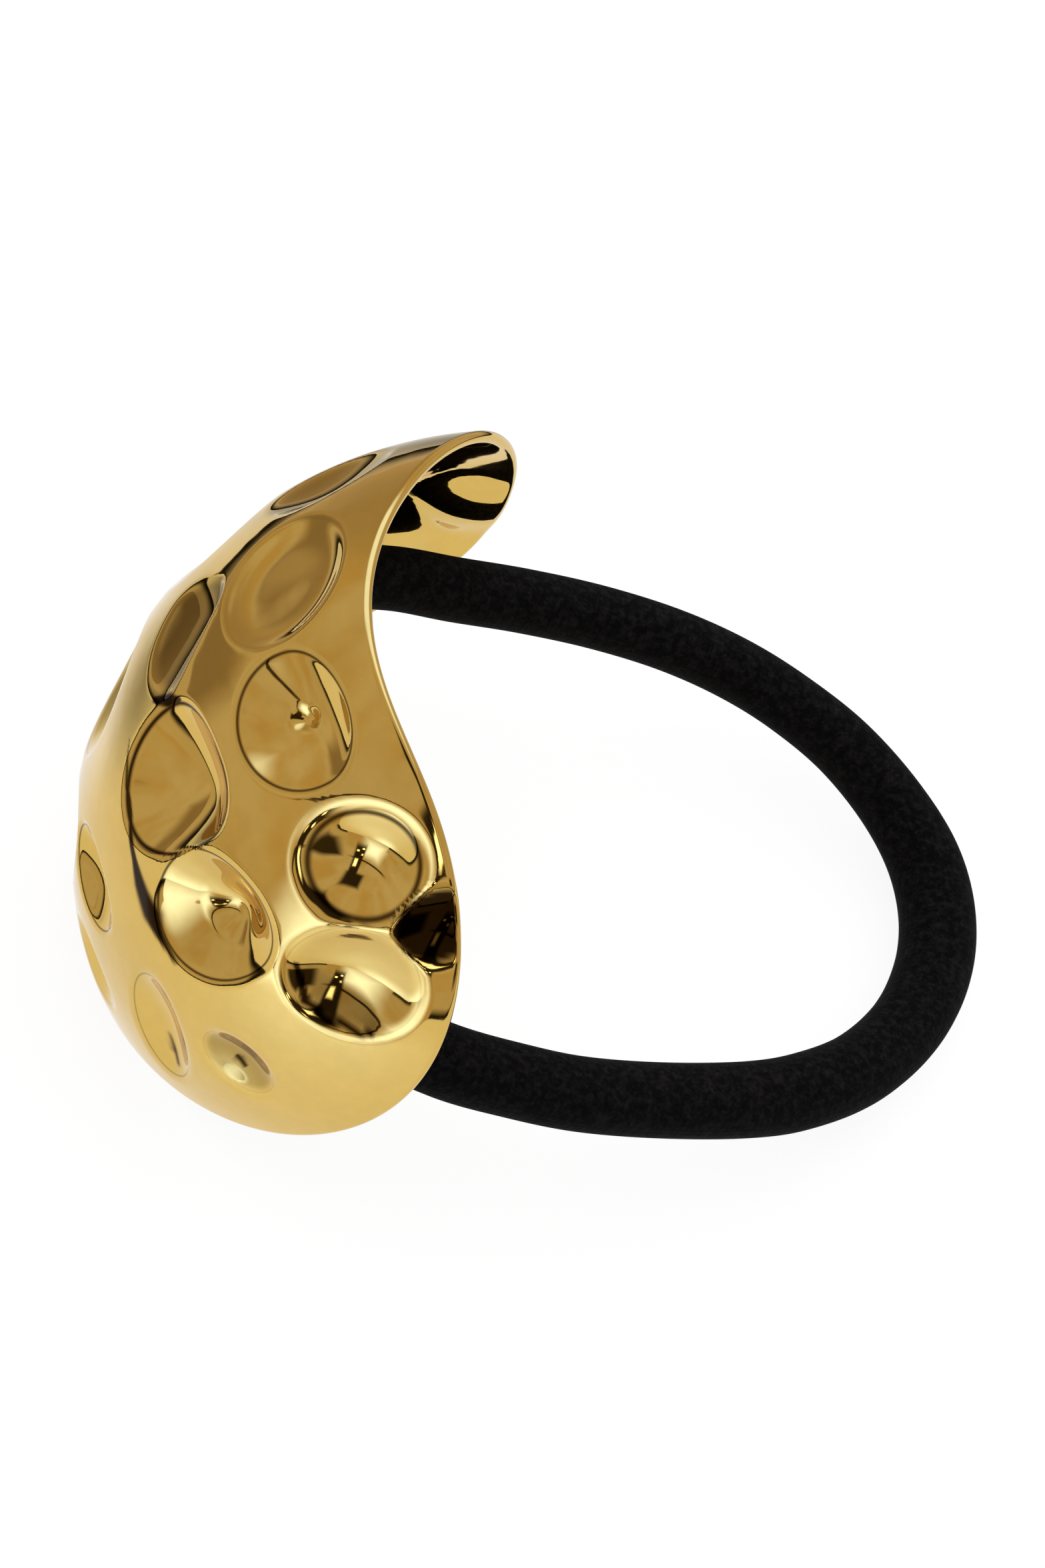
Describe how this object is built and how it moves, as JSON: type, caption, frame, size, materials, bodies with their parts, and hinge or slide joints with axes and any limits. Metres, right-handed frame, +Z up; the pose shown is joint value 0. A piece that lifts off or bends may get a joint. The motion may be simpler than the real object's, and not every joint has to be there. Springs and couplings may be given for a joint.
{
  "type": "hair tie",
  "caption": "Hair tie with a mirror-bright gold metal plate, oval, dented and bent round a ponytail, on a thick black covered elastic loop.",
  "frame": {"origin": "on the surface it lies on, under the middle of its bounding box", "axes": "+Z up from the surface; +X from the metal plate to the far end of the elastic loop, the longest side; +Y along the plate's length, towards its upper end"},
  "size_m": [0.0606, 0.0424, 0.0365],
  "materials": {
    "gold_metal": "mirror-polished gold plating, with soft dents",
    "black_elastic": "fine black knitted cover over a rubber core, slightly velvety"
  },
  "bodies": {
    "root": {"plate": "gold_metal", "band": "black_elastic"}
  },
  "joints": []
}
